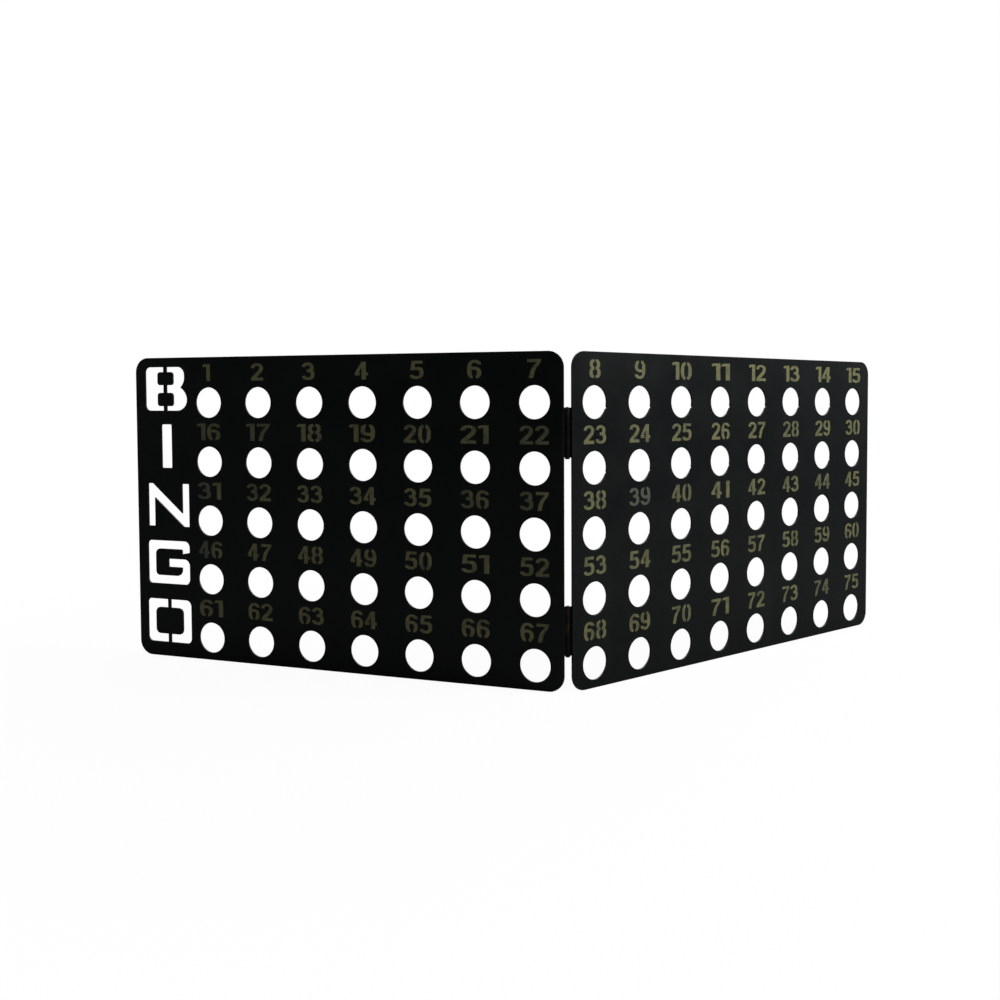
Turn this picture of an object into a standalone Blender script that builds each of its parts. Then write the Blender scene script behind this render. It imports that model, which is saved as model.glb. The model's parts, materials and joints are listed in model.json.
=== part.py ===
"""Folding bingo master board: two perforated sheet panels joined by two small butt hinges.

The board stands on its bottom edges in a V, with the hinges nearest the viewer. Metres, +Z up, +X to the
viewer's right, +Y away from the viewer. The origin is under the centre of the standing board.
"""

from math import asin, cos, pi, radians, sin

import bmesh
import bpy
from mathutils import Matrix, Vector

# Grid of ball holes, set by the pitch of the balls
ROWS = 5
LEFT_COLUMNS = 7
RIGHT_COLUMNS = 8
PITCH = 0.0508
HOLE_DIAMETER = 0.026

# Sheet panels: the margins run from the centres of the outermost holes to the edges
SHEET = 0.0015
TOP_MARGIN = 0.039
BOTTOM_MARGIN = 0.0194
HINGE_MARGIN = 0.0242
OUTER_MARGIN = 0.0266
CORNER_RADIUS = 0.0127
PANEL_GAP = 0.003

# Butt hinges: a rolled leaf behind each panel, and a headed pin
LEAF_LENGTH = 0.0381
LEAF_REACH = 0.0111
LEAF_SHEET = 0.0009
LEAF_CORNER = 0.0015
END_KNUCKLE_SHARE = 0.26
PIN_RADIUS = 0.001
PIN_HEAD_INSET = 0.00015
PIN_HEAD_HEIGHT = 0.001
PIN_TIP = 0.0005
PIN_EDGE = 0.0003
UPPER_HINGE_DROP = 0.0621
LOWER_HINGE_RISE = 0.0475

# Clearances between pieces, and how far a cutter overruns what it cuts
SEAT_GAP = 0.0003
KNUCKLE_GAP = 0.0003
PIN_CLEARANCE = 0.00025
NOTCH_CLEARANCE = 0.0004
CURL_CLEARANCE = 0.0003
OVERRUN = 0.002

# How the board stands: the angle between the backs of its panels
STANDING_ANGLE = radians(114.6)

# Facets of the round shapes, and the angle from which an edge stays sharp
HOLE_SIDES = 32
CORNER_STEPS = 6
LEAF_CORNER_STEPS = 3
CURL_STEPS = 20
PIN_SIDES = 20
SHARP_ANGLE = radians(35)

# An edge counts as crossing a sheet when its depth is this near to the sheet's thickness
ON_FACE_SHARE = 0.01

# Sizes that follow from those above
PANEL_WIDTH = HINGE_MARGIN + (RIGHT_COLUMNS - 1) * PITCH + OUTER_MARGIN
PANEL_HEIGHT = TOP_MARGIN + (ROWS - 1) * PITCH + BOTTOM_MARGIN
PANEL_NEAR = PANEL_GAP / 2
PANEL_FAR = PANEL_NEAR + PANEL_WIDTH
BORE_RADIUS = PIN_RADIUS + PIN_CLEARANCE
BARREL_RADIUS = BORE_RADIUS + LEAF_SHEET
PIN_HEAD_RADIUS = BARREL_RADIUS - PIN_HEAD_INSET
BACK_FACE = -(BARREL_RADIUS + SEAT_GAP)
FRONT_FACE = BACK_FACE - SHEET
END_KNUCKLE = END_KNUCKLE_SHARE * LEAF_LENGTH
HALF_FOLD = STANDING_ANGLE / 2

BLACK_PAINT = (0.009, 0.010, 0.010)
WORN_STEEL = (0.16, 0.13, 0.08)


def clear_scene():
    """Empties the file, so that the script gives the same model each time."""
    for obj in list(bpy.data.objects):
        bpy.data.objects.remove(obj, do_unlink=True)


def material(name, colour, roughness, metallic):
    """A plain material with the colour and gloss of the real surface."""
    result = bpy.data.materials.new(name)
    result.use_nodes = True
    shader = result.node_tree.nodes["Principled BSDF"]
    shader.inputs["Base Color"].default_value = (*colour, 1.0)
    shader.inputs["Roughness"].default_value = roughness
    shader.inputs["Metallic"].default_value = metallic
    return result


def new_object(name, bm, parent):
    """Turns an edited mesh into an object that hangs on its parent."""
    bmesh.ops.recalc_face_normals(bm, faces=bm.faces)
    mesh = bpy.data.meshes.new(name)
    bm.to_mesh(mesh)
    bm.free()
    obj = bpy.data.objects.new(name, mesh)
    bpy.context.scene.collection.objects.link(obj)
    obj.parent = parent
    return obj


def new_piece(name, bm, parent, surface):
    """A piece of the board, its round faces shaded smooth."""
    piece = new_object(name, bm, parent)
    piece.data.materials.append(surface)
    piece.data.shade_smooth()
    piece.data.set_sharp_from_angle(angle=SHARP_ANGLE)
    return piece


def cut(target, name, bm):
    """Cuts the target with the edited mesh, which stays in the file as a hidden guide."""
    tool = new_object(name, bm, target.parent)
    tool.location = target.location
    tool.hide_render = True
    tool.display_type = "WIRE"
    modifier = target.modifiers.new(name, "BOOLEAN")
    modifier.operation = "DIFFERENCE"
    modifier.solver = "EXACT"
    modifier.object = tool


def add_block(bm, low, high):
    """A box between two opposite corners."""
    low, high = Vector(low), Vector(high)
    place = Matrix.Translation((low + high) / 2) @ Matrix.Diagonal((*(high - low), 1.0))
    bmesh.ops.create_cube(bm, size=1.0, matrix=place)


def round_corners(bm, edges, radius, steps):
    bmesh.ops.bevel(bm, geom=edges, offset=radius, segments=steps, profile=0.5, affect="EDGES")


def runs_through(edge, thickness):
    """Whether an edge crosses the sheet from its front to its back."""
    first, last = (vert.co for vert in edge.verts)
    return abs(abs((first - last).y) - thickness) < thickness * ON_FACE_SHARE


def hole_places(columns):
    """Each ball hole's distance from the hinge axis and height above the table."""
    for column in range(columns):
        for row in range(ROWS):
            yield PANEL_NEAR + HINGE_MARGIN + column * PITCH, BOTTOM_MARGIN + row * PITCH


def make_panel(name, side, columns, carrier, surface):
    """A flat sheet with rounded corners and a round hole for each ball.

    Each panel is modelled with the board open flat, its front towards -Y, running from the hinge axis
    along X: side is -1 for the left panel and 1 for the right one.
    """
    bm = bmesh.new()
    ends = sorted((side * PANEL_NEAR, side * PANEL_FAR))
    add_block(bm, (ends[0], FRONT_FACE, 0), (ends[1], BACK_FACE, PANEL_HEIGHT))
    corners = [edge for edge in bm.edges if runs_through(edge, SHEET)]
    round_corners(bm, corners, CORNER_RADIUS, CORNER_STEPS)
    sheet = new_piece(name, bm, carrier, surface)

    drills = bmesh.new()
    across = Matrix.Rotation(pi / 2, 4, "X")
    for reach, height in hole_places(columns):
        centre = Vector((side * reach, (FRONT_FACE + BACK_FACE) / 2, height))
        bmesh.ops.create_cone(
            drills,
            cap_ends=True,
            segments=HOLE_SIDES,
            radius1=HOLE_DIAMETER / 2,
            radius2=HOLE_DIAMETER / 2,
            depth=SHEET + 2 * OVERRUN,
            matrix=Matrix.Translation(centre) @ across,
        )
    cut(sheet, name + "_drills", drills)


def leaf_section(side):
    """The leaf seen along the pin: a flat plate whose end is rolled round the pin.

    The plate's front lies on the tangent of the roll, so the leaf sits flat against the panel's back.
    The roll starts under the pin, turns over it and stops short of the plate again.
    """
    stop = asin((CURL_CLEARANCE - BORE_RADIUS) / BARREL_RADIUS)
    sweep = 2 * pi - (stop + pi / 2)
    turns = [-pi / 2 - sweep * step / CURL_STEPS for step in range(CURL_STEPS + 1)]
    outside = [(BARREL_RADIUS * cos(turn), BARREL_RADIUS * sin(turn)) for turn in turns]
    inside = [(BORE_RADIUS * cos(turn), BORE_RADIUS * sin(turn)) for turn in reversed(turns)]
    plate_end = [(LEAF_REACH, -BORE_RADIUS), (LEAF_REACH, -BARREL_RADIUS)]
    return [(side * x, y) for x, y in plate_end + outside + inside]


def make_leaf(name, side, foot, open_spans, carrier, surface):
    """One rolled leaf, notched over each open span to leave room for the other leaf's knuckles."""
    bm = bmesh.new()
    section = bm.faces.new([bm.verts.new((x, y, 0)) for x, y in leaf_section(side)])
    grown = bmesh.ops.extrude_face_region(bm, geom=[section])["geom"]
    top = [item for item in grown if isinstance(item, bmesh.types.BMVert)]
    bmesh.ops.translate(bm, verts=top, vec=(0, 0, LEAF_LENGTH))
    plate_ends = [
        edge
        for edge in bm.edges
        if runs_through(edge, LEAF_SHEET) and abs(edge.verts[0].co.x) > BARREL_RADIUS
    ]
    round_corners(bm, plate_ends, LEAF_CORNER, LEAF_CORNER_STEPS)
    leaf = new_piece(name, bm, carrier, surface)
    leaf.location.z = foot

    notches = bmesh.new()
    inner = -side * (BARREL_RADIUS + OVERRUN)
    outer = side * (BARREL_RADIUS + NOTCH_CLEARANCE)
    depth = BARREL_RADIUS + OVERRUN
    for low, high in open_spans:
        add_block(notches, (min(inner, outer), -depth, low), (max(inner, outer), depth, high))
    cut(leaf, name + "_notches", notches)


def make_pin(name, foot, carrier, surface):
    """A turned pin: a head under the barrel, a shank through it and a tip just above it."""
    head_low = -(KNUCKLE_GAP + PIN_HEAD_HEIGHT)
    tip_high = LEAF_LENGTH + PIN_TIP
    outline = [
        (0, head_low),
        (PIN_HEAD_RADIUS - PIN_EDGE, head_low),
        (PIN_HEAD_RADIUS, head_low + PIN_EDGE),
        (PIN_HEAD_RADIUS, -KNUCKLE_GAP),
        (PIN_RADIUS, -KNUCKLE_GAP),
        (PIN_RADIUS, tip_high - PIN_EDGE),
        (PIN_RADIUS - PIN_EDGE, tip_high),
        (0, tip_high),
    ]
    bm = bmesh.new()
    verts = [bm.verts.new((radius, 0, height)) for radius, height in outline]
    edges = [bm.edges.new(pair) for pair in zip(verts, verts[1:])]
    bmesh.ops.spin(
        bm, geom=verts + edges, cent=(0, 0, 0), axis=(0, 0, 1), angle=2 * pi, steps=PIN_SIDES, use_merge=True
    )
    bmesh.ops.remove_doubles(bm, verts=bm.verts, dist=PIN_EDGE * ON_FACE_SHARE)
    pin = new_piece(name, bm, carrier, surface)
    pin.location.z = foot


def make_hinge(name, foot, left_carrier, right_carrier, leaf_surface, pin_surface):
    """Two end knuckles on the left leaf, one long knuckle on the right leaf, and the pin."""
    split_low, split_high = END_KNUCKLE, LEAF_LENGTH - END_KNUCKLE
    half = KNUCKLE_GAP / 2
    middle = [(split_low - half, split_high + half)]
    ends = [(-OVERRUN, split_low + half), (split_high - half, LEAF_LENGTH + OVERRUN)]
    make_leaf(name + "_left_leaf", -1, foot, middle, left_carrier, leaf_surface)
    make_leaf(name + "_right_leaf", 1, foot, ends, right_carrier, leaf_surface)
    make_pin(name + "_pin", foot, left_carrier, pin_surface)


def add_empty(name, parent=None):
    empty = bpy.data.objects.new(name, None)
    bpy.context.scene.collection.objects.link(empty)
    empty.parent = parent
    return empty


def build():
    clear_scene()
    paint = material("black_paint", BLACK_PAINT, 0.4, 0.0)
    steel = material("painted_hinge", BLACK_PAINT, 0.35, 0.0)
    worn = material("worn_steel", WORN_STEEL, 0.4, 0.8)

    # The hinge axis stands where the V's nearest corner and its far corners lie evenly about the origin
    nearest = max(BARREL_RADIUS, -FRONT_FACE * sin(HALF_FOLD) - PANEL_NEAR * cos(HALF_FOLD))
    farthest = PANEL_FAR * cos(HALF_FOLD) + BACK_FACE * sin(HALF_FOLD)
    axis = add_empty("fold_axis")
    axis.location.y = (nearest - farthest) / 2
    left = add_empty("left_carrier", axis)
    right = add_empty("right_carrier", axis)
    left.rotation_euler.z = HALF_FOLD - pi / 2
    right.rotation_euler.z = pi / 2 - HALF_FOLD

    make_panel("left_panel", -1, LEFT_COLUMNS, left, paint)
    make_panel("right_panel", 1, RIGHT_COLUMNS, right, paint)
    upper_foot = PANEL_HEIGHT - UPPER_HINGE_DROP - LEAF_LENGTH / 2
    lower_foot = LOWER_HINGE_RISE - LEAF_LENGTH / 2
    make_hinge("upper_hinge", upper_foot, left, right, steel, worn)
    make_hinge("lower_hinge", lower_foot, left, right, steel, worn)
    bpy.context.view_layer.update()


build()
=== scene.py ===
"""Dresses a folding bingo master board, and sets the stage for its picture.

Two perforated sheet panels stand in a V on two small hinges. Metres, +Z up, +X to the viewer's right and
+Y away from the viewer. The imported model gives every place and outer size; this file adds the fine sheets
with their cut-out row letters, the painted numerals, the rolled hinge leaves, the pins and the finishes.
"""

import json
from math import asin, cos, pi, radians, sin, sqrt

import bmesh
import bpy
from bpy.props import FloatProperty, FloatVectorProperty, PointerProperty
from mathutils import Matrix, Vector


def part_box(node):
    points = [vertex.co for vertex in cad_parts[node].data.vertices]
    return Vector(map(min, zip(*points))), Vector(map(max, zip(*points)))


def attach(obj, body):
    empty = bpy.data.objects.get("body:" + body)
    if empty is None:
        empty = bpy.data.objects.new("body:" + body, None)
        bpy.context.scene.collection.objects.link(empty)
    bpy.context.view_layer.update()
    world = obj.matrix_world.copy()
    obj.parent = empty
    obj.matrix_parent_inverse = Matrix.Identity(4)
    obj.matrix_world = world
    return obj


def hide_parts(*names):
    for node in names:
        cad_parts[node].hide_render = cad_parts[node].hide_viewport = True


bl_info = {
    "name": "Bingo master board",
    "version": (1, 0, 0),
    "blender": (4, 5, 0),
    "location": "3D View > Sidebar > Bingo board",
    "description": "Dresses a folding bingo master board and sets up its picture",
    "category": "Add Mesh",
}

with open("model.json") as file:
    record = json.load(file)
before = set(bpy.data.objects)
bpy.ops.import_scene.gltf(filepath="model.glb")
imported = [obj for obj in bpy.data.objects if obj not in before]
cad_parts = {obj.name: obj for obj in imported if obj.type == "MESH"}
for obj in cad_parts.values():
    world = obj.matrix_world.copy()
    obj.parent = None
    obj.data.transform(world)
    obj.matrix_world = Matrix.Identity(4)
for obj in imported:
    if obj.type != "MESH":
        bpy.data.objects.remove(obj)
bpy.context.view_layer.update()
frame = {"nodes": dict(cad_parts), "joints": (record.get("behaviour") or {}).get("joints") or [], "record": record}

# The board's two halves, and how its 75 numbers are laid out
SIDES = ("left", "right")
ROWS = 5
COLUMNS = 15
LEFT_COLUMNS = 7
FOLD = next(joint for joint in frame["joints"] if joint["name"] == "fold")
FOLD_AXIS = Vector(FOLD["pos_m"])

# Facets of the round shapes
HOLE_SIDES = 96
SHEET_CORNER_STEPS = 14
LETTER_CORNER_STEPS = 8
DIGIT_CORNER_STEPS = 7
RIM_STEPS = 2
CURL_STEPS = 32
LEAF_CORNER_STEPS = 6
NOTCH_SIDES = 72
PIN_SIDES = 40
DIMPLE_SIDES = 32

# Drawings are in these units: letters in millimetres, digits in widths of their pen
LETTER_UNIT = 0.001
DIGIT_BOX = (2.95, 5.5)

# Shares of the ball holes' pitch, which sets the size and place of each numeral
DIGIT_HEIGHT_SHARE = 0.285
DIGIT_FOOT_SHARE = 0.364
DIGIT_GAP_SHARE = 0.035
PAIRED_DIGIT_SHARE = 0.2215
LONE_DIGIT_SHARE = 0.24
LONE_ONE_SHARE = 0.145
LONE_ONE_SHIFT_SHARE = 0.027
ONE_BESIDE_ANOTHER_SHARE = 0.175
ANOTHER_BESIDE_ONE_SHARE = 0.268

# Small burrs at the lower right of the right panel's holes, fading from the top row down
BURR_TURN = radians(-18.75)
BURR_SPREAD = radians(5)
BURR_ROW_SHARES = (1.0, 0.65, 0.35, 0.2, 0.1)
BURR_LAST_COLUMN_SHARE = 0.2

# The share of plain white in what the camera sees of the floor near the board. The rest is the lit floor
# with the board's shadow. From the reach outwards the white grows, and at three times the reach it is all.
FLOOR_GLOW = 0.95
SHADOW_REACH = 0.28

# How much of the floor's paleness the board gets by soft light and by reflection, and how pale the
# darkest grain of the floor is
FLOOR_SOFT_SHARE = 0.5
FLOOR_MIRROR_SHARE = 0.13
FLOOR_GRAIN = 0.97

# The studio that the board sees, from in front of it to behind it: how far along, and how strong
STUDIO = ((0.10, 0.006), (0.30, 0.03), (0.50, 0.13), (0.64, 0.45), (0.85, 0.6))
STUDIO_RED_SHARE = 0.96

# Where each lamp stands and how wide it is, and the point that all of them face
LAMPS = {
    "key": ((0.98, -0.40, 1.12), 0.7),
    "fill": ((-0.89, -1.53, 1.89), 1.2),
    "back": ((0.3, 2.2, 1.7), 1.6),
}
LAMP_TARGET = (0, 0, 0.12)

# Where along a leaf its welds sit, and how far off the leaf a weld's dimpling ball is centred, as a
# share of the ball's own depth
WELD_SHARES = (1 / 6, 1 / 2, 5 / 6)
DIMPLE_LIFT = 0.4

# A pin's head: the share of its height that tapers, and the share of its width that is left at the end
HEAD_TAPER_SHARE = 0.35
HEAD_END_SHARE = 0.55

# Angles between faces from which an edge stays sharp in the shading
SHEET_SHARP = radians(40)
HINGE_SHARP = radians(30)

# Angles between faces from which an edge is rounded off
LEAF_ROUNDED = radians(50)
PIN_ROUNDED = radians(35)

# How far a face may tilt and still count as the flat of a sheet
FLAT_TILT = radians(5)

# A merge distance well under the finest detail, and an overrun for every cutter
MERGE = 1e-6
OVERRUN = 0.002


def mirrored(outline):
    """A digit's outline drawn the other way round."""
    return [(DIGIT_BOX[0] - x, y, *cuts) for x, y, *cuts in outline]


def half_turned(outline):
    """A digit's outline turned upside down."""
    return [(DIGIT_BOX[0] - x, DIGIT_BOX[1] - y, *cuts) for x, y, *cuts in outline]


# Stencil digits as outlines, from the digit's lower left corner. A point is (x, y), (x, y, cut) or
# (x, y, cut before it, cut after it), where a cut corner is a quarter of an ellipse.
ZERO_HALF = [
    (1.26, 5.5), (0.0, 5.5, 1.1, 2.3), (0.0, 0.0, 2.3, 1.1), (1.26, 0.0),
    (1.26, 0.95), (0.9, 0.95, 0.25, 1.4), (0.9, 4.55, 1.4, 0.25), (1.26, 4.55),
]
EIGHT_HALF = [
    (1.27, 5.5), (0.1, 5.5, 0.95, 1.25), (0.1, 2.97, 1.1, 0.5), (0.6, 2.97), (0.6, 2.89),
    (0.0, 2.89, 0.6, 1.25), (0.0, 0.0, 1.35, 1.05), (1.27, 0.0), (1.27, 0.85),
    (0.87, 0.85, 0.25, 0.7), (0.87, 2.45, 0.7, 0.25), (1.3, 2.45), (1.3, 3.35),
    (0.93, 3.35, 0.2, 0.55), (0.93, 4.65, 0.55, 0.2), (1.27, 4.65),
]
SIX = [
    (1.2, 0.0), (0.0, 0.0, 1.0, 2.1), (0.0, 5.5, 2.4, 1.4), (2.9, 5.5, 1.3, 1.2),
    (2.95, 4.15), (2.05, 4.2), (2.0, 4.65, 0.3, 0.4), (0.92, 4.65, 0.4, 0.7),
    (0.92, 3.5), (2.95, 3.5, 1.4, 1.6), (2.95, 0.0, 1.6, 1.0), (1.8, 0.0),
    (1.8, 0.88), (2.05, 0.88, 0.15, 0.6), (2.05, 2.6, 0.6, 0.5), (0.92, 2.6),
    (0.92, 0.88, 0.9, 0.15), (1.2, 0.88),
]
ONE_STEM = [(1.45, 0.0), (2.95, 0.0), (2.95, 5.5), (1.45, 5.5)]
ONE = [(1.45, 0.0), (2.95, 0.0), (2.95, 5.5), (1.0, 5.5), (0.0, 5.2), (0.0, 4.5), (1.45, 4.68)]
TWO = [
    (0.0, 3.95), (0.0, 5.5, 1.35, 1.4), (2.95, 5.5, 1.45, 1.5), (2.95, 3.1, 0.85, 0.8),
    (1.3, 0.95), (2.95, 0.95), (2.95, 0.0), (0.0, 0.0), (0.0, 0.9), (2.05, 3.55, 0.8, 0.45),
    (2.05, 4.65, 0.45, 0.45), (0.88, 4.65, 0.4, 0.4), (0.88, 3.95),
]
THREE = [
    (0.0, 4.1), (0.0, 5.5, 1.25, 1.3), (2.75, 5.5, 1.3, 1.4), (2.75, 2.98, 0.9, 0.28),
    (2.45, 2.93), (2.95, 2.88, 0.48, 0.9), (2.95, 0.0, 1.5, 1.4), (0.0, 0.0, 1.4, 1.1),
    (0.0, 1.35), (0.88, 1.35), (0.88, 0.86, 0.3, 0.4), (2.04, 0.86, 0.5, 0.6),
    (2.04, 2.5, 0.6, 0.5), (1.1, 2.5), (1.1, 3.35), (1.84, 3.35, 0.4, 0.4),
    (1.84, 4.64, 0.4, 0.4), (0.88, 4.64, 0.4, 0.35), (0.88, 4.1),
]
FOUR = [
    (1.5, 0.0), (2.5, 0.0), (2.5, 1.28), (2.95, 1.28), (2.95, 2.12), (2.5, 2.12), (2.5, 5.5),
    (1.5, 5.5), (0.0, 2.1), (0.0, 1.28), (1.14, 1.28), (1.14, 2.12), (0.84, 2.12), (1.5, 3.75),
]
FIVE = [
    (0.35, 5.5), (2.75, 5.5), (2.75, 4.65), (1.15, 4.65), (1.05, 3.55), (2.95, 3.65, 0.9, 1.5),
    (2.95, 0.0, 1.5, 1.4), (0.0, 0.0, 1.3, 0.9), (0.0, 1.25), (0.88, 1.25),
    (0.88, 0.86, 0.25, 0.35), (2.04, 0.86, 0.5, 0.6), (2.04, 2.75, 0.6, 0.5), (0.1, 2.65),
]
SEVEN = [
    (0.1, 5.48), (2.9, 5.48), (2.9, 4.9), (2.62, 4.1, 0.4), (1.8, 2.7, 0.6), (1.48, 1.2, 0.6),
    (1.32, 0.0), (0.42, 0.0), (0.6, 1.3, 0.6), (0.97, 2.9, 0.6), (1.82, 4.2, 0.3), (2.02, 4.6),
    (0.1, 4.6),
]
DIGITS = {
    "0": [ZERO_HALF, mirrored(ZERO_HALF)],
    "1": [ONE],
    "bare 1": [ONE_STEM],
    "2": [TWO],
    "3": [THREE],
    "4": [FOUR],
    "5": [FIVE],
    "6": [SIX],
    "7": [SEVEN],
    "8": [EIGHT_HALF, mirrored(EIGHT_HALF)],
    "9": [half_turned(SIX)],
}

# How worn the paint of a numeral is, digit by digit, from 0 to 1
WORN_NUMERALS = {
    16: (0.5, 0.4),
    17: (0.6, 0.5),
    20: (0.5, 0.0),
    22: (0.6, 0.4),
    28: (0.3, 0.4),
    31: (0.8, 0.0),
    32: (0.5, 0.1),
    36: (0.5, 0.4),
    37: (0.6, 0.2),
    39: (1.0, 1.0),
    43: (0.5, 0.1),
    44: (0.6, 0.5),
    46: (0.9, 0.3),
    52: (0.3, 0.3),
    55: (0.3, 0.3),
    60: (0.2, 0.5),
    74: (0.6, 0.6),
}

# Painted shade on the numerals not listed above: how far each row of each panel is dimmed, top row first
ROW_SHADE_SHARES = {"left": (0.0, 0.1, 0.1, 0.1, 0.0), "right": (0.0, 0.2, 0.3, 0.3, 0.25)}

# Row letters, top row first, as stencil shapes from the letter's centre line and foot, in millimetres
LETTERS = (
    (
        [
            (-2.6, 37.65), (-22.2, 37.65, 4.4), (-22.2, -0.1, 5.0), (-2.6, -0.1),
            (-2.6, 3.75), (-9.0, 3.75, 2.6), (-9.0, 15.4, 2.6), (-2.6, 15.4),
            (-2.6, 22.0), (-9.0, 22.0, 2.6), (-9.0, 33.4, 2.6), (-2.6, 33.4),
        ],
        [
            (0.65, 33.4), (7.7, 33.4, 2.6), (7.7, 22.0, 2.6), (0.65, 22.0),
            (0.65, 15.4), (7.7, 15.4, 2.6), (7.7, 3.75, 2.6), (0.65, 3.75),
            (0.65, -0.1), (22.4, -0.1, 10.4, 9.5), (22.4, 16.2, 6.6, 7.6), (15.5, 19.8),
            (19.7, 23.9, 5.7, 3.5), (19.7, 37.65, 7.1, 6.9), (0.65, 37.65),
        ],
    ),
    ([(-5.6, 38.65, 1.2), (-5.6, 0.75, 1.2), (5.4, 0.75, 1.2), (5.4, 38.65, 1.2)],),
    (
        [
            (-21.2, 37.8, 0.8), (-21.2, 0.4, 0.8), (-14.0, 0.4, 0.8), (-14.0, 25.4),
            (16.9, 0.4, 0.8), (22.9, 0.4, 0.8), (22.9, 37.8, 0.8), (15.4, 37.8, 0.8),
            (15.4, 12.1), (-15.9, 37.8, 0.8),
        ],
    ),
    (
        [
            (-22.5, 38.4, 3.5), (-22.5, 0.5, 3.8), (22.5, 0.5, 5.0), (22.5, 22.6, 5.6),
            (-0.35, 22.6, 1.0), (-0.35, 15.5, 1.0), (14.2, 15.5, 0.8), (14.2, 7.85, 5.6),
            (-14.0, 7.85, 3.8), (-14.0, 31.2, 4.6), (14.4, 31.2, 1.2), (14.4, 27.2, 0.5),
            (22.5, 28.7, 0.5), (22.5, 38.4, 5.2),
        ],
    ),
    (
        [
            (-1.8, 37.6), (-23.7, 37.6, 3.5), (-23.7, -0.25, 4.75), (-1.8, -0.25),
            (-1.8, 7.0), (-14.9, 7.0, 4.6), (-14.9, 30.25, 4.6), (-1.8, 30.25),
        ],
        [
            (1.1, 30.25), (14.3, 30.25, 4.6), (14.3, 7.0, 4.6), (1.1, 7.0),
            (1.1, -0.25), (23.3, -0.25, 4.75), (23.3, 37.6, 5.4), (1.1, 37.6),
        ],
    ),
)


def length_setting(name, description, default):
    """A length that the user may change."""
    return FloatProperty(
        name=name, description=description, default=default, unit="LENGTH", precision=5
    )


def colour_setting(name, description, default):
    """A colour that the user may change."""
    return FloatVectorProperty(
        name=name, description=description, default=default, subtype="COLOR"
    )


class BoardSizes(bpy.types.PropertyGroup):
    """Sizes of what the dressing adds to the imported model"""

    hole_diameter: length_setting("Hole diameter", "Width of each ball hole", 0.026)
    corner_radius: length_setting("Corner radius", "Radius of the panels' corners", 0.0127)
    rim_softness: length_setting(
        "Rim softness", "Radius of the paint over every cut edge of the sheets", 0.00015
    )
    burr_height: length_setting(
        "Burr height", "Depth of the notch that a burr leaves beside a hole of the top row", 0.0012
    )
    letter_inset: length_setting(
        "Letter inset", "From the left panel's outer edge to the centre line of the row letters", 0.0324
    )
    letter_drop: length_setting(
        "Letter drop", "From the centre of a row's holes down to the foot of its letter", 0.0068
    )
    paint_build: length_setting(
        "Paint build", "How far the numerals' paint stands on the sheet", 0.00004
    )
    paint_key: length_setting(
        "Paint key", "How far the numerals' paint reaches into the paint below", 0.00002
    )
    leaf_sheet: length_setting("Leaf thickness", "Thickness of the hinge leaves", 0.0009)
    leaf_corner: length_setting("Leaf corner", "Radius of a hinge leaf's outer corners", 0.0015)
    leaf_edge: length_setting("Leaf edge", "Softened edge of the hinge leaves", 0.00012)
    knuckle_gap: length_setting(
        "Knuckle gap", "Free play round the knuckles of a hinge, and above its pin's head", 0.00012
    )
    knuckle_seam: length_setting(
        "Knuckle seam", "Gap between neighbouring knuckles along the pin", 0.00004
    )
    end_knuckle_share: FloatProperty(
        name="End knuckle share",
        description="Share of a hinge's length that each end knuckle takes",
        default=0.26,
        subtype="FACTOR",
    )
    weld_width: length_setting(
        "Weld width", "Width of the shallow dimple that a spot weld leaves in a leaf", 0.004
    )
    weld_depth: length_setting("Weld depth", "Depth of a spot weld's dimple", 0.0002)
    pin_radius: length_setting("Pin radius", "Radius of a hinge pin's shank", 0.001)
    pin_edge: length_setting("Pin edge", "Rounding of a pin's head and tip", 0.00025)


class BoardColours(bpy.types.PropertyGroup):
    """Colours of the board's finishes"""

    sheet_paint: colour_setting(
        "Sheet paint", "Satin black paint of the panels", (0.0026, 0.0040, 0.0042)
    )
    sheet_haze: colour_setting(
        "Sheet haze", "Handled and dusty places of the panels", (0.0080, 0.0100, 0.0098)
    )
    numeral_paint: colour_setting(
        "Numeral paint", "Gold paint of the numerals where it lies thick", (0.158, 0.155, 0.071)
    )
    # Also the colour towards which painted shade dims the numerals of the lower rows
    numeral_thin: colour_setting(
        "Thin numeral paint", "Gold paint where the black shows through it", (0.088, 0.094, 0.043)
    )
    numeral_grey: colour_setting(
        "Worn numeral paint", "What is left of the numerals that hands have rubbed", (0.075, 0.082, 0.062)
    )
    hinge_paint: colour_setting(
        "Hinge paint", "Black paint of the hinge leaves", (0.0035, 0.0035, 0.0030)
    )
    bare_brass: colour_setting(
        "Bare brass", "Metal of the hinges where their paint has worn away", (0.20, 0.12, 0.035)
    )
    bare_steel: colour_setting(
        "Bare steel", "Metal of the sheets where their paint has worn away", (0.16, 0.16, 0.155)
    )
    floor: colour_setting("Floor", "Pale floor below the board", (0.8, 0.8, 0.8))


class BoardStage(bpy.types.PropertyGroup):
    """Camera and lights of the board's picture"""

    camera_place: FloatVectorProperty(
        name="Camera place",
        description="Where the camera stands",
        default=(-0.16553, -0.99179, 0.22278),
        subtype="TRANSLATION",
        unit="LENGTH",
    )
    camera_turn: FloatVectorProperty(
        name="Camera turn",
        description="How the camera is turned",
        default=(1.52304, 0.00146, -0.19919),
        subtype="EULER",
        unit="ROTATION",
    )
    camera_lens: FloatProperty(
        name="Lens", description="Focal length in millimetres", default=42.60573, unit="CAMERA"
    )
    camera_shift: FloatVectorProperty(
        name="Camera shift",
        description="How far the picture is shifted from the lens's axis",
        size=2,
        default=(-0.08389, -0.04158),
        subtype="NONE",
    )
    key_power: FloatProperty(
        name="Key power", description="Power of the softbox at the right", default=22.5, unit="POWER"
    )
    fill_power: FloatProperty(
        name="Fill power", description="Power of the weak lamp at the left", default=6.5, unit="POWER"
    )
    back_power: FloatProperty(
        name="Back power", description="Power of the softbox behind the board", default=26.0, unit="POWER"
    )
    floor_size: length_setting("Floor size", "Width of the floor", 12.0)


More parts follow.
